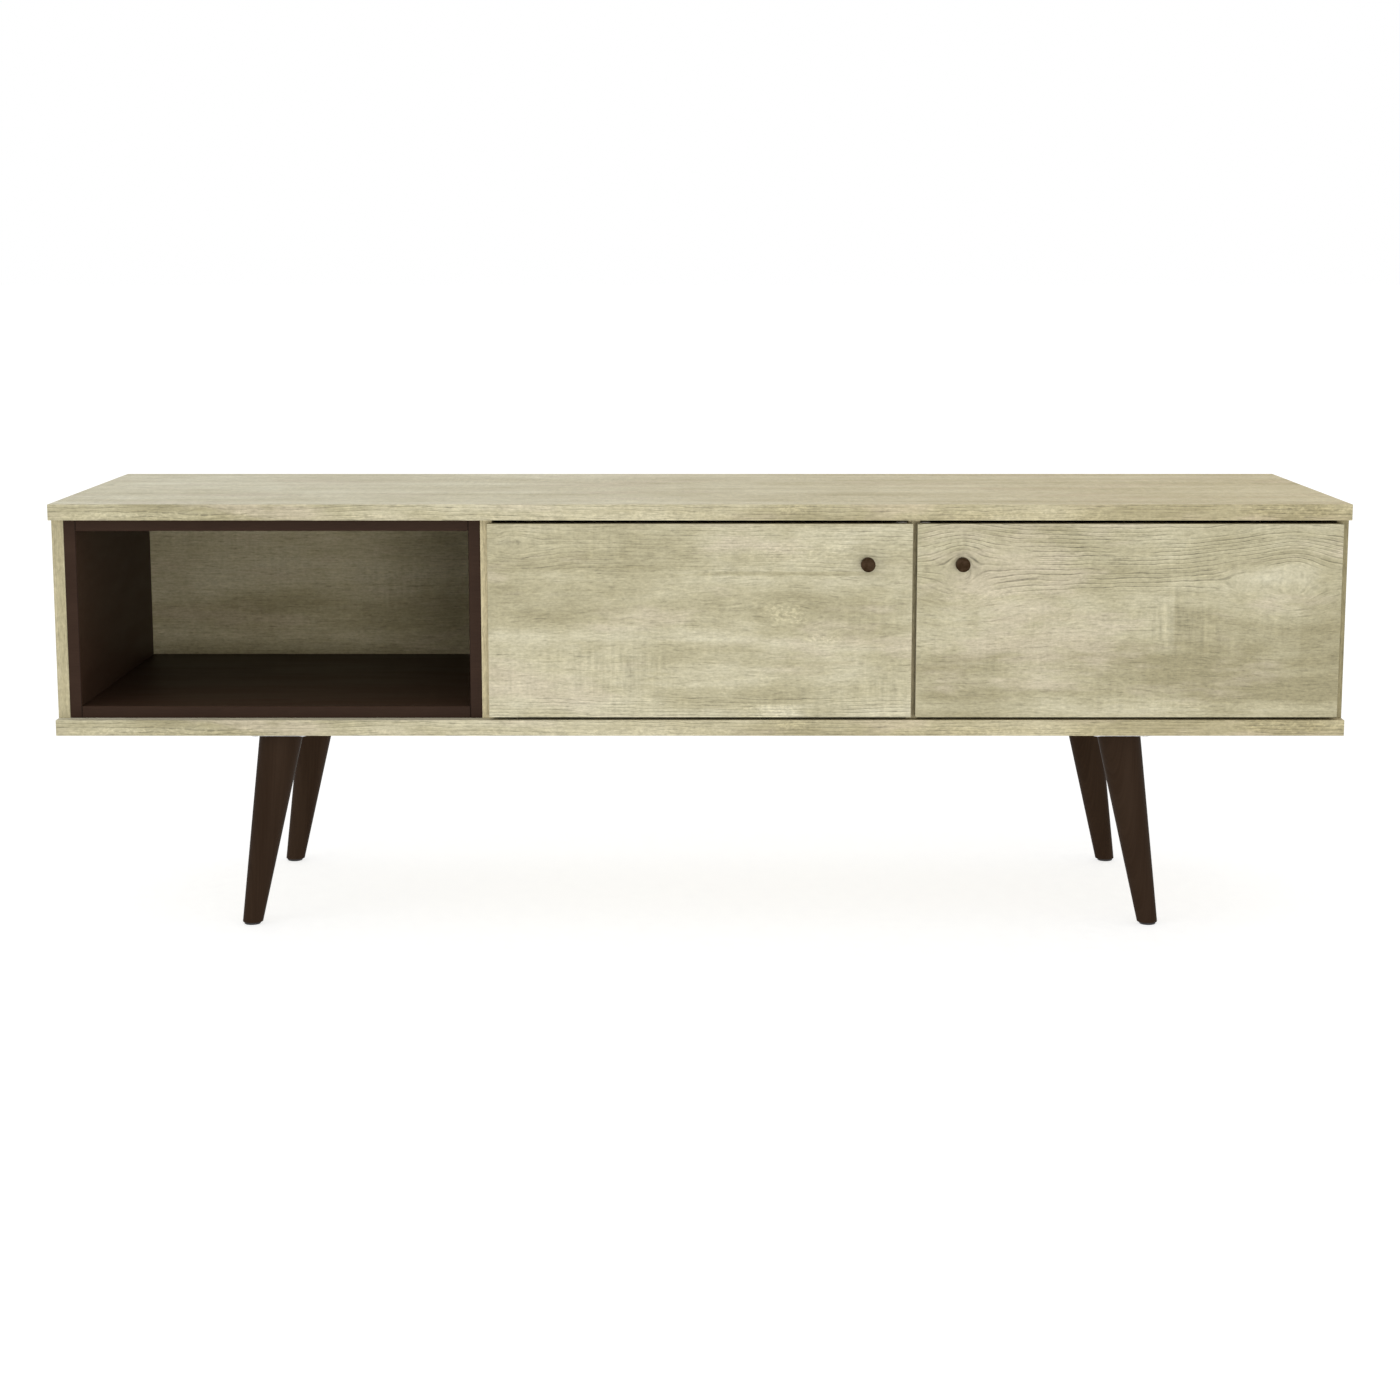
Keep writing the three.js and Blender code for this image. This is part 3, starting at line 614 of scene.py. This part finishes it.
def add_rings(bm, rings, cap_top=True):
    """Skins a stack of rings of equal length, with a cap on the first and, if asked, on the last."""
    stack = [[bm.verts.new(point) for point in ring] for ring in rings]
    for lower, upper in zip(stack, stack[1:]):
        for i in range(len(lower)):
            j = (i + 1) % len(lower)
            bm.faces.new((lower[i], lower[j], upper[j], upper[i]))
    bm.faces.new(tuple(reversed(stack[0])))
    if cap_top:
        bm.faces.new(stack[-1])
    return stack


def add_turned(bm, profile, matrix, sides=32):
    """A shape turned about Z from (radius, height) pairs that run upwards, then moved by the matrix."""
    rings = [[matrix @ point for point in circle(radius, height, sides)] for radius, height in profile]
    add_rings(bm, rings)


def add_cross_head(bm, matrix, radius, height, sides=24):
    """A screw's head: low, with eased edges and a cross recess."""
    profile = [(radius, 0.0), (radius, height * 0.35), (radius * 0.9, height * 0.8), (radius * 0.66, height)]
    rings = [[matrix @ point for point in circle(r, z, sides)] for r, z in profile]
    rim = add_rings(bm, rings, cap_top=False)[-1]
    reach, half = radius * 0.54, radius * 0.13
    quarter = [(half, half), (half, reach), (-half, reach)]
    corners = []
    for turn in range(4):
        for x, y in quarter:
            for _ in range(turn):
                x, y = -y, x
            corners.append((x, y))
    mouth = [bm.verts.new(matrix @ Vector((x, y, height))) for x, y in corners]
    floor = [bm.verts.new(matrix @ Vector((x * 0.7, y * 0.7, height * 0.25))) for x, y in corners]
    for i in range(len(mouth)):
        j = (i + 1) % len(mouth)
        bm.faces.new((mouth[i], mouth[j], floor[j], floor[i]))
    bm.faces.new(floor)
    loop_edges = []
    for loop in (rim, mouth):
        for i in range(len(loop)):
            first, second = loop[i], loop[(i + 1) % len(loop)]
            loop_edges.append(bm.edges.get((first, second)))
    bmesh.ops.triangle_fill(bm, use_beauty=True, edges=loop_edges)


def screws(name, places, outward, radius, height, material, body, slot):
    """One piece that holds a set of like screw heads, all facing the same way."""
    bm = bmesh.new()
    for place in places:
        add_cross_head(bm, standing_on(place, outward), radius, height)
    return new_piece(name, bm, material, body)


def ease_edges(obj, width):
    """Rounds a CAD node's edges. Its mesh comes with every triangle on its own, so it is welded first."""
    weld = obj.modifiers.new("weld", "WELD")
    weld.merge_threshold = 0.01 * MM
    bevel = obj.modifiers.new("eased_edges", "BEVEL")
    bevel.width = width
    bevel.segments = 2
    bevel.limit_method = "ANGLE"
    bevel.angle_limit = math.radians(40)
    normals = obj.modifiers.new("normals", "WEIGHTED_NORMAL")
    normals.keep_sharp = True


def dress(nodes, material, ease=0.0):
    """A better material, and eased edges, on CAD nodes that keep their shape."""
    for name in nodes:
        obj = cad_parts[name]
        for slot in obj.material_slots:
            slot.material = material
        if ease:
            ease_edges(obj, ease)


# --------------------------------------------------------------------------------------- camera, light, floor

LENS_MM = 68.83
CAMERA_PLACE = (0.0, -2.8427, 0.6825)
CAMERA_PITCH = 9.41  # degrees below the horizon


def make_camera():
    data = bpy.data.cameras.new("camera")
    data.sensor_width = 36.0
    data.lens = LENS_MM
    camera = bpy.data.objects.new("camera", data)
    camera.location = CAMERA_PLACE
    camera.rotation_euler = (math.radians(90.0 - CAMERA_PITCH), 0.0, 0.0)
    bpy.context.scene.collection.objects.link(camera)
    bpy.context.scene.camera = camera


def soft_light(name, place, target, size, power):
    data = bpy.data.lights.new(name, "AREA")
    data.shape = "RECTANGLE"
    data.size, data.size_y = size
    data.energy = power
    light = bpy.data.objects.new(name, data)
    light.location = place
    light.rotation_euler = (Vector(target) - Vector(place)).to_track_quat("-Z", "Y").to_euler()
    bpy.context.scene.collection.objects.link(light)


def make_lights():
    scene = bpy.context.scene
    scene.view_settings.view_transform = "Standard"
    world = bpy.data.worlds.new("white_studio")
    world.use_nodes = True
    sky = world.node_tree.nodes["Background"]
    sky.inputs["Color"].default_value = (1.0, 1.0, 1.0, 1.0)
    sky.inputs["Strength"].default_value = 1.0
    scene.world = world
    soft_light("key", place=(-2.8, -2.3, 1.5), target=(0.1, 0.0, 0.3), size=(1.8, 1.4), power=16.0)
    soft_light("fill", place=(0.7, -3.2, 0.20), target=(-0.2, 0.0, 0.34), size=(1.0, 0.3), power=18.0)


def make_floor():
    s = Surface("pale_floor", specular=0.05)
    speckle = s.noise(s.times(s.x, 60.0), s.times(s.y, 60.0), 71, detail=3.0)
    colour = s.ramp(speckle, [(0.3, (0.33, 0.33, 0.33)), (0.7, (0.37, 0.37, 0.37))])
    s.shader.inputs["Emission Color"].default_value = (1.0, 1.0, 1.0, 1.0)
    s.shader.inputs["Emission Strength"].default_value = 0.72
    s.finish(colour, speckle, 0.05 * MM, 0.85)
    reach = 60.0
    corners = [(-reach, -reach, 0.0), (reach, -reach, 0.0), (reach, reach, 0.0), (-reach, reach, 0.0)]
    mesh = bpy.data.meshes.new("floor")
    mesh.from_pydata(corners, [], [(0, 1, 2, 3)])
    mesh.materials.append(s.material)
    floor = bpy.data.objects.new("floor", mesh)
    bpy.context.scene.collection.objects.link(floor)


# ------------------------------------------------------------------------------------------------ the boards

EASED_BOARD = 0.4 * MM
EASED_LINER = 0.7 * MM
CAM_FROM_END = 24 * MM
CAM_FROM_FRONT = 85 * MM
CAM_FROM_REAR = 60 * MM
CAM_RADIUS = 6 * MM
CAM_PROUD = 0.4 * MM
UPRIGHTS = (
    "side_panel_left",
    "liner_left",
    "liner_right",
    "divider_left",
    "divider_middle",
    "side_panel_right",
)


def make_boards():
    dress(["top_slab", "bottom_slab"], slab_oak(), EASED_BOARD)
    # The right side panel's lower tone is painted shade, standing in for the door's shadow on its front edge.
    for side, tone in (("left", 0.46), ("right", 0.35)):
        side_oak = plain_oak(f"oak_side_{side}", "upright", 5, figure=0.35, tone=tone, warmth=0.33)
        dress([f"side_panel_{side}"], side_oak, EASED_BOARD)
    # The dividers' paler, yellower tone is painted light, standing in for warm light bounced into the shaded
    # gap between the doors.
    divider_oak_painted_bounce = plain_oak("oak_divider_painted_bounce", "upright", 6, specular=0.05, figure=0.35, tone=0.70, warmth=1.0)
    dress(["divider_left", "divider_middle"], divider_oak_painted_bounce, EASED_BOARD)
    # The first patch is painted shade, darkening the lower part of the back panel in the bay. The second
    # darkens a further area, from x = -0.43 to -0.20 m.
    painted_shade_and_dark_patch = [
        Patch(-0.700, 0.700, 0.200, 0.300, 0.100, 0.020, -0.110),
        Patch(-0.430, -0.200, 0.200, 0.450, 0.060, 0.030, -0.040),
    ]
    hardboard = plain_oak(
        "oak_hardboard", "door", 8, specular=0.05, patches=painted_shade_and_dark_patch, figure=0.25, tone=0.56, warmth=0.77
    )
    dress(["back_panel"], hardboard, EASED_BOARD)
    dress([f"liner_{part}" for part in ("left", "right", "top", "bottom")], dark_laminate(), EASED_LINER)
    dress(["door_left"], left_door_oak(), EASED_BOARD)
    dress(["door_right"], right_door_oak(), EASED_BOARD)


def make_cam_fittings(material):
    """The cross-slotted cams that clamp each cupboard upright to both slabs, let into its face."""
    faces = {"divider_left": 1, "divider_middle": 1, "side_panel_right": -1}
    slot = "zinc_plated_steel"
    for name, outward in faces.items():
        low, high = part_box(name)
        x = high.x if outward > 0 else low.x
        rows = (low.z + CAM_FROM_END, high.z - CAM_FROM_END)
        columns = (low.y + CAM_FROM_FRONT, high.y - CAM_FROM_REAR)
        places = [(x, y, z) for z in rows for y in columns]
        screws(f"cams_{name}", places, (outward, 0, 0), CAM_RADIUS, CAM_PROUD, material, "cabinet", slot)


def make_carcass_screws(material):
    """Countersunk screws up through the lower slab into every upright board."""
    slab_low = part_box("bottom_slab")[0]
    for name in UPRIGHTS:
        low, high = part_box(name)
        x = (low.x + high.x) / 2
        places = [(x, low.y + share * (high.y - low.y), slab_low.z) for share in (0.12, 0.5, 0.88)]
        head = {"radius": 3.5 * MM, "height": 0.3 * MM, "material": material}
        screws(f"carcass_screws_{name}", places, (0, 0, -1), **head, body="cabinet", slot="zinc_plated_steel")


def make_back_nails(material):
    """Flat nails that hold the back panel to the rear edges of the uprights."""
    low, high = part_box("back_panel")
    proud, radius = 0.45 * MM, 1.9 * MM
    profile = [(radius, 0.0), (radius, proud * 0.5), (radius * 0.8, proud * 0.9), (radius * 0.3, proud)]
    bm = bmesh.new()
    for name in ("side_panel_left", "liner_right", "divider_middle", "side_panel_right"):
        upright_low, upright_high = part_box(name)
        x = (upright_low.x + upright_high.x) / 2
        for share in (0.06, 0.28, 0.5, 0.72, 0.94):
            place = (x, high.y, low.z + share * (high.z - low.z))
            add_turned(bm, profile, standing_on(place, (0, 1, 0)), sides=16)
    new_piece("back_nails", bm, material, "cabinet")


# ---------------------------------------------------------------------------------------------- the legs

EASED_FOOT = 0.5 * MM
PLATE_SCREW_OFFSET = 24 * MM  # from the middle of the leg plate, both ways


def leg_rings(place):
    """Level rings up a leg. A leaning cone's level section is an ellipse, longer the way the leg leans."""
    low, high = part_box(f"leg_{place}")
    foot_low, foot_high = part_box(f"foot_glide_{place}")
    plate_low, plate_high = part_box(f"leg_plate_{place}")
    foot = (foot_low + foot_high) / 2
    top_x = (plate_low.x + plate_high.x) / 2
    full_height = plate_high.z - foot_low.z
    slope = (top_x - foot.x) / full_height
    stretch = math.hypot(1.0, slope)
    top_radius = (high.y - low.y) / 2
    lowest_x = foot.x + slope * (low.z - foot_low.z)
    outermost = low.x if foot.x < 0 else high.x
    foot_radius = abs(outermost - lowest_x) / stretch

    edge = [(low.z + EASED_FOOT + z, EASED_FOOT - x) for x, z in arc((0, 0), EASED_FOOT, -90, 0)]
    straight = high.z - low.z - EASED_FOOT
    steps = 20
    body = [(low.z + EASED_FOOT + straight * i / steps, 0.0) for i in range(1, steps + 1)]
    rings = []
    for height, taken_in in edge + body:
        share = (height - low.z) / (high.z - low.z)
        radius = foot_radius + (top_radius - foot_radius) * share - taken_in
        centre_x = foot.x + slope * (height - foot_low.z)
        outline = circle(radius, height=0.0, sides=80)
        rings.append([Vector((centre_x + point.x * stretch, foot.y + point.y, height)) for point in outline])
    return rings


def make_legs(wood, steel, plastic):
    for place in LEGS:
        bm = bmesh.new()
        add_rings(bm, leg_rings(place))
        leg = new_piece(f"turned_leg_{place}", bm, wood, "cabinet")
        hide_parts(f"leg_{place}")
        plate_low, plate_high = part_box(f"leg_plate_{place}")
        middle = (plate_low + plate_high) / 2
        columns = [middle.x + end * PLATE_SCREW_OFFSET for end in (-1, 1)]
        rows = [middle.y + end * PLATE_SCREW_OFFSET for end in (-1, 1)]
        corners = [(x, y, plate_low.z) for x in columns for y in rows]
        head = {"radius": 4.2 * MM, "height": 1.0 * MM, "material": steel}
        name = f"leg_plate_screws_{place}"
        screws(name, corners, (0, 0, -1), **head, body="cabinet", slot="zinc_plated_steel")
    dress([f"leg_plate_{place}" for place in LEGS], steel, ease=0.5 * MM)
    dress([f"leg_bolt_{place}" for place in LEGS], steel)
    dress([f"foot_glide_{place}" for place in LEGS], plastic, ease=0.3 * MM)


# -------------------------------------------------------------------------------- knobs and door hardware

KNOB_EDGE = 1.75 * MM  # radius of its rounded edge
KNOB_DOME = 0.75 * MM


def knob_profile(radius, reach):
    """From the foot, which is a little narrower, over the rounded edge and the low dome."""
    profile = [(radius - 0.9 * MM, 0.0), (radius - 0.5 * MM, 0.3 * MM), (radius, 3.5 * MM)]
    profile += arc((radius - KNOB_EDGE, reach - KNOB_DOME - KNOB_EDGE), KNOB_EDGE, 0, 80, steps=8)
    rim, shoulder = profile[-1]
    steps = 6
    for step in range(1, steps + 1):
        out = rim * (1 - step / (steps + 0.5))  # stops short of the middle
        profile.append((out, reach - (reach - shoulder) * (out / rim) ** 2))
    return profile


def make_knobs(wood, steel):
    """Turned buttons, each with a pan-head screw behind the door."""
    for side in SIDES:
        body = f"{side}_door"
        low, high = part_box(f"knob_{side}")
        middle = (low + high) / 2
        profile = knob_profile((high.x - low.x) / 2, high.y - low.y)
        bm = bmesh.new()
        add_turned(bm, profile, standing_on((middle.x, high.y, middle.z), (0, -1, 0)), sides=64)
        knob = new_piece(f"turned_knob_{side}", bm, wood, body, sharp_angle=50.0)
        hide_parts(f"knob_{side}")

        door_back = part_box(f"door_{side}")[1].y
        place = (middle.x, door_back, middle.z)
        head = {"radius": 4 * MM, "height": 2.1 * MM, "material": steel}
        name = f"knob_screw_head_{side}"
        screw = screws(name, [place], (0, 1, 0), **head, body=body, slot="nickel_plated_steel")
        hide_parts(f"knob_screw_{side}")


# Where a hinge's screws are, from its pin.
CUP_SCREW_RISE = 19 * MM
PLATE_SCREW_RISE = 16 * MM
PLATE_SCREW_BACK = 38 * MM
FIXING_SCREW_BACK = 49 * MM
ADJUSTING_SCREW_BACK = 30 * MM
WOOD_SCREW_HEAD = {"radius": 3.1 * MM, "height": 0.9 * MM}


def make_hinges(steel):
    slot = "nickel_plated_steel"
    for place in HINGES:
        side = place.split("_")[0]
        body = f"{side}_door"
        inward = 1 if side == "left" else -1
        pin_low, pin_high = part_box(f"hinge_pin_{place}")
        pin = (pin_low + pin_high) / 2
        cup_low, cup_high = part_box(f"hinge_cup_{place}")
        arm_low, arm_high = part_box(f"hinge_arm_{place}")

        cup_middle = (cup_low.x + cup_high.x) / 2
        places = [(cup_middle, cup_high.y, pin.z + end * CUP_SCREW_RISE) for end in (-1, 1)]
        name = f"hinge_cup_screws_{place}"
        screws(name, places, (0, 1, 0), **WOOD_SCREW_HEAD, material=steel, body=body, slot=slot)

        on_cabinet = {"outward": (inward, 0, 0), "material": steel, "body": "cabinet", "slot": slot}
        wing_face = pin.x  # the face of the plate's wings is level with the pin
        places = [(wing_face, pin.y + PLATE_SCREW_BACK, pin.z + end * PLATE_SCREW_RISE) for end in (-1, 1)]
        screws(f"hinge_plate_screws_{place}", places, **WOOD_SCREW_HEAD, **on_cabinet)

        web_face = arm_high.x if inward > 0 else arm_low.x
        fixing = (web_face, pin.y + FIXING_SCREW_BACK, pin.z)
        screws(f"hinge_fixing_screw_{place}", [fixing], radius=3.6 * MM, height=1.4 * MM, **on_cabinet)
        adjusting = (web_face, pin.y + ADJUSTING_SCREW_BACK, pin.z)
        screws(f"hinge_adjusting_screw_{place}", [adjusting], radius=2.6 * MM, height=0.5 * MM, **on_cabinet)
    for part, ease in (("cup", 0.3 * MM), ("arm", 0.25 * MM), ("plate", 0.25 * MM), ("pin", 0.0)):
        dress([f"hinge_{part}_{place}" for place in HINGES], steel, ease)


CATCH_SCREW_BACK = 3 * MM  # from the middle of the catch
CATCH_SCREW_RISE = 8 * MM


def make_catches(steel, magnet, white):
    slot = "nickel_plated_steel"
    for side in SIDES:
        low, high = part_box(f"catch_{side}")
        middle = (low + high) / 2
        outward = 1 if side == "right" else -1
        face_x = high.x if outward > 0 else low.x
        heights = [middle.z + end * CATCH_SCREW_RISE for end in (-1, 1)]
        places = [(face_x, middle.y + CATCH_SCREW_BACK, z) for z in heights]
        head = {"radius": 2.6 * MM, "height": 0.5 * MM, "material": steel}
        screws(f"catch_screws_{side}", places, (outward, 0, 0), **head, body="cabinet", slot=slot)

        strike_low, strike_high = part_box(f"strike_{side}")
        strike = (strike_low + strike_high) / 2
        place = (strike.x, strike_high.y, strike.z)
        head = {"radius": 2.5 * MM, "height": 0.2 * MM, "material": steel}
        screws(f"strike_screw_{side}", [place], (0, 1, 0), **head, body=f"{side}_door", slot=slot)
    dress([f"catch_{side}" for side in SIDES], white, ease=0.4 * MM)
    dress([f"catch_magnet_{side}" for side in SIDES], magnet, ease=0.2 * MM)
    dress([f"strike_{side}" for side in SIDES], steel, ease=0.15 * MM)


def make_bumpers(rubber):
    for place in HINGES:
        low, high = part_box(f"door_bumper_{place}")
        middle = (low + high) / 2
        radius = (high.x - low.x) / 2
        height = high.y - low.y
        profile = [(radius * 0.96, 0.0), (radius, height * 0.12)]
        profile += [(radius * x, height * (0.3 + 0.7 * z)) for x, z in arc((0, 0), 1.0, 0, 82, steps=7)]
        bm = bmesh.new()
        add_turned(bm, profile, standing_on((middle.x, low.y, middle.z), (0, 1, 0)))
        side = place.split("_")[0]
        bumper = new_piece(f"bumper_dome_{place}", bm, rubber, f"{side}_door")
        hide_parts(f"door_bumper_{place}")


zinc = plated_steel("zinc_plate", (0.60, 0.61, 0.63), 0.32)
nickel = plated_steel("nickel_plate", (0.62, 0.60, 0.57), 0.24)
bare_magnet = plated_steel("bare_magnet", (0.20, 0.20, 0.21), 0.38)
black_plastic = moulded("black_plastic", (0.020, 0.019, 0.018), 0.45)
white_plastic = moulded("white_plastic", (0.72, 0.70, 0.65), 0.4)
rubber = moulded("clear_rubber", (0.86, 0.86, 0.82), 0.22, transmission=0.7)

make_camera()
make_lights()
make_floor()
make_boards()
make_cam_fittings(zinc)
make_carcass_screws(zinc)
make_back_nails(zinc)
make_legs(leg_wood(), zinc, black_plastic)
make_knobs(knob_wood(), nickel)
make_hinges(nickel)
make_catches(nickel, bare_magnet, white_plastic)
make_bumpers(rubber)
